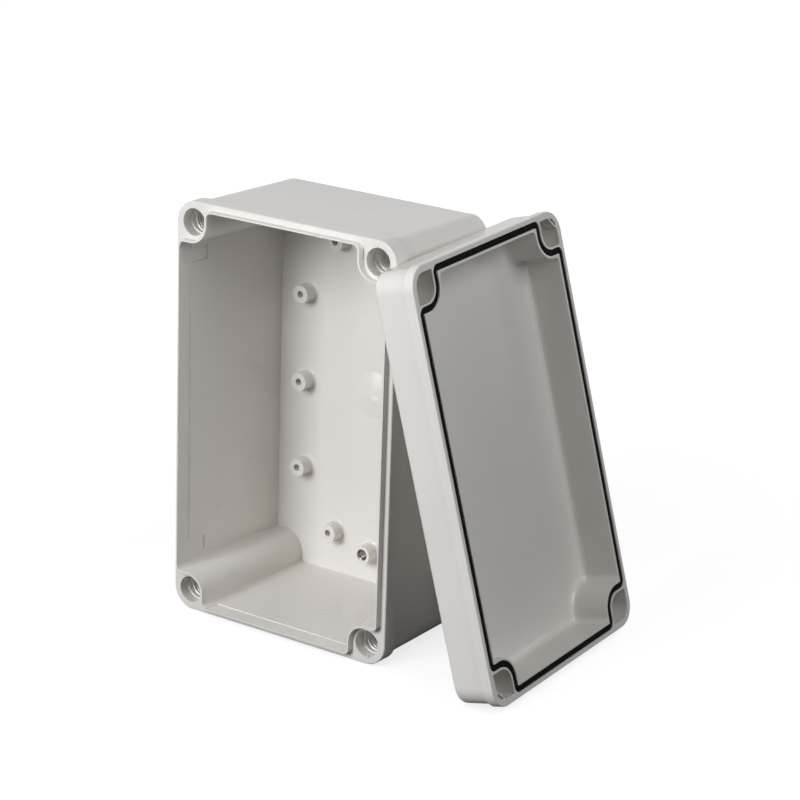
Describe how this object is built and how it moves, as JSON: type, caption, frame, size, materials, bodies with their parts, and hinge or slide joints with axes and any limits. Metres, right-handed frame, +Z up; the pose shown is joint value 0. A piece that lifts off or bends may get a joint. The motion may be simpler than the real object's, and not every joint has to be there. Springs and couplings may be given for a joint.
{
  "type": "waterproof junction box",
  "caption": "Pale grey plastic waterproof junction box standing open, its gasketed lid leaning against one side.",
  "frame": {"origin": "point on the floor under the middle of the whole, base and leaning lid together", "axes": "+Z up, the base's opening faces -Y, the lid leans on the base's +X side with its hollow side towards +X"},
  "size_m": [0.2706, 0.1752, 0.2802],
  "materials": {
    "shell": "injection moulded pale grey plastic, softly glossy, fine moulded texture",
    "seal": "black foamed rubber, matt",
    "brass": "turned brass with a dull shine",
    "screw_plastic": "grey moulded plastic with a coarse thread"
  },
  "bodies": {
    "box_base": {"base": "shell", "insert_top": "brass", "insert_bottom": "brass"},
    "loose_lid": {"lid": "shell", "lid_gasket": "seal"},
    "screw_1": {"lid_screw_1": "screw_plastic"},
    "screw_2": {"lid_screw_2": "screw_plastic"},
    "screw_3": {"lid_screw_3": "screw_plastic"},
    "screw_4": {"lid_screw_4": "screw_plastic"}
  },
  "joints": [
    {"name": "lid_draw_away", "type": "slide", "parent": "box_base", "child": "loose_lid", "axis": [1, 0, 0], "range_m": [0, 0.2]},
    {"name": "screw_1_lift", "type": "slide", "parent": "box_base", "child": "screw_1", "axis": [0, 0, 1], "range_m": [0, 0.08]},
    {"name": "screw_2_lift", "type": "slide", "parent": "box_base", "child": "screw_2", "axis": [0, 0, 1], "range_m": [0, 0.08]},
    {"name": "screw_3_lift", "type": "slide", "parent": "box_base", "child": "screw_3", "axis": [0, 0, 1], "range_m": [0, 0.08]},
    {"name": "screw_4_lift", "type": "slide", "parent": "box_base", "child": "screw_4", "axis": [0, 0, 1], "range_m": [0, 0.08]}
  ]
}
